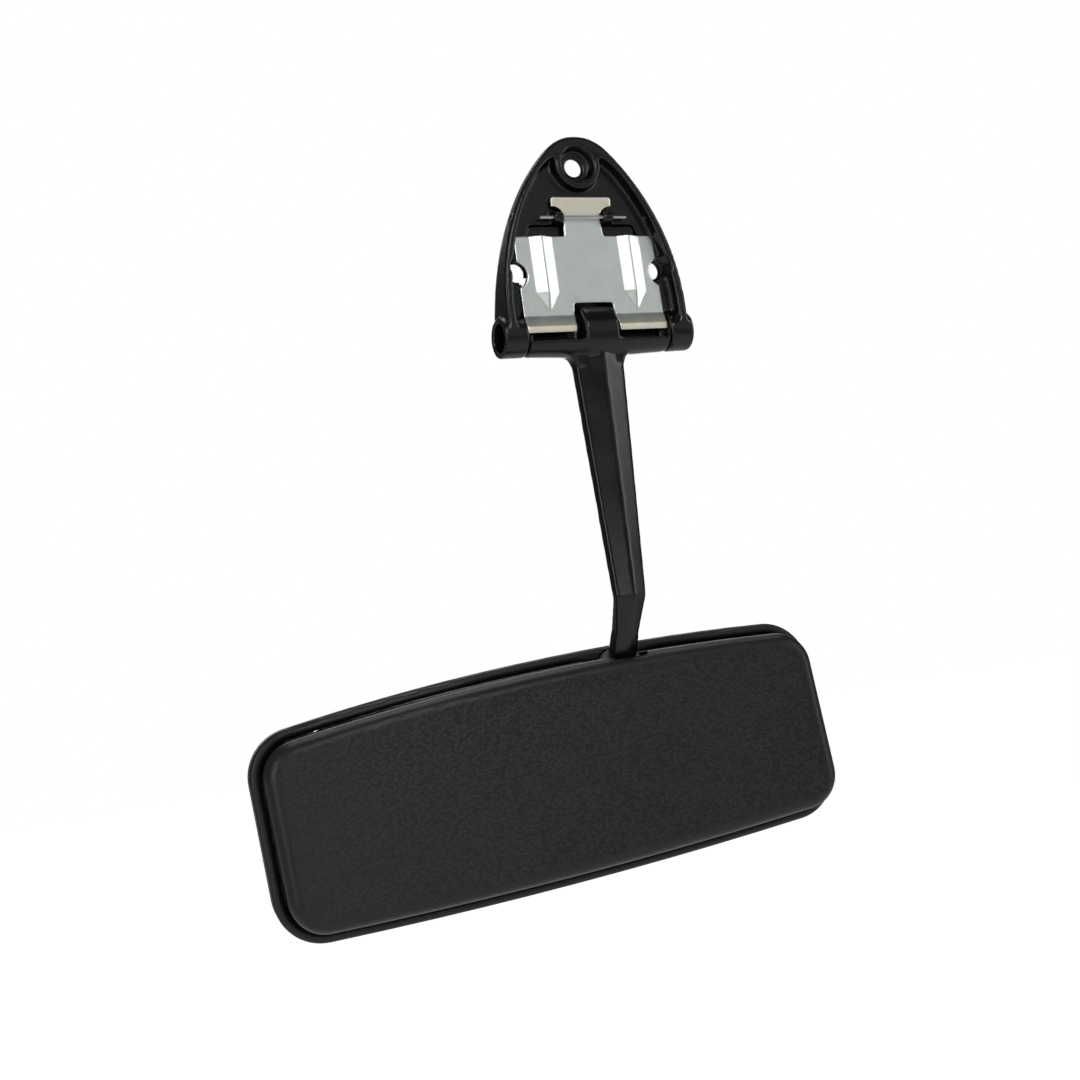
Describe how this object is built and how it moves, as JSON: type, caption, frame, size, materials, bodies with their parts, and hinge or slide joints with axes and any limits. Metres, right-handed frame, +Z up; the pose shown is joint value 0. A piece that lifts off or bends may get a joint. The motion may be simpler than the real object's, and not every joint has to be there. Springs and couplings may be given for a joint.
{
  "type": "interior rearview mirror",
  "caption": "Interior rearview mirror: arch-shaped screw-on base with a leaf spring, a folding arm, and a wide framed head that turns on a ball joint off its centre.",
  "frame": {"origin": "middle of the line between the two side screw holes, half-way through their webs", "axes": "+Y out of the mounting face into the cabin, +X along the hinge axis, +Z up the base towards its apex; the arm hangs down -Z"},
  "size_m": [0.2118, 0.0624, 0.2673],
  "materials": {
    "black_casting": "semi-gloss black paint on a die casting",
    "spring_steel": "zinc plated spring steel",
    "steel": "plain steel",
    "grey_nylon": "moulded nylon",
    "ball_plastic": "fine matt texture",
    "liner_plastic": "smooth",
    "socket_plastic": "smooth",
    "plate_steel": "zinc plated sheet",
    "dark_steel": "blackened steel",
    "foam_pad": "foam tape",
    "mirror_glass": "silvered glass",
    "rim_plastic": "smooth matt black",
    "grained_plastic": "leather-like grain"
  },
  "bodies": {
    "base": {"base_casting": "black_casting", "leaf_spring": "spring_steel", "retaining_wire": "steel", "hinge_bush_left": "grey_nylon", "hinge_bush_right": "grey_nylon"},
    "arm": {"arm_casting": "black_casting", "ball_pin": "steel"},
    "ball": {"pivot_ball": "ball_plastic"},
    "liner": {"friction_liner": "liner_plastic"},
    "head": {"ball_socket": "socket_plastic", "retainer_plate": "dark_steel", "retainer_screw_left": "dark_steel", "retainer_screw_right": "dark_steel", "socket_screw_left": "steel", "socket_screw_right": "steel", "carrier_plate": "plate_steel", "mounting_pad": "foam_pad", "mirror_glass": "mirror_glass", "rim_frame": "rim_plastic", "back_shell": "grained_plastic", "carrier_screw_1": "steel", "carrier_screw_2": "steel", "carrier_screw_3": "steel", "carrier_screw_4": "steel"}
  },
  "joints": [
    {"name": "arm_fold", "type": "hinge", "parent": "base", "child": "arm", "pos_m": [0, -0.00132, -0.0234], "axis": [1, 0, 0], "range_deg": [-35, 12]},
    {"name": "ball_swivel", "type": "hinge", "parent": "arm", "child": "ball", "pos_m": [0, 0.01602, -0.1436], "axis": [0, -0.4983, 0.867], "range_deg": [-15, 15]},
    {"name": "head_tilt", "type": "hinge", "parent": "ball", "child": "liner", "pos_m": [0, 0.01602, -0.1436], "axis": [0.9865, -0.1475, 0.0716], "range_deg": [-10, 12]},
    {"name": "head_roll", "type": "hinge", "parent": "liner", "child": "head", "pos_m": [0, 0.01602, -0.1436], "axis": [0.1495, 0.9885, -0.0242], "range_deg": [-10, 10]}
  ]
}
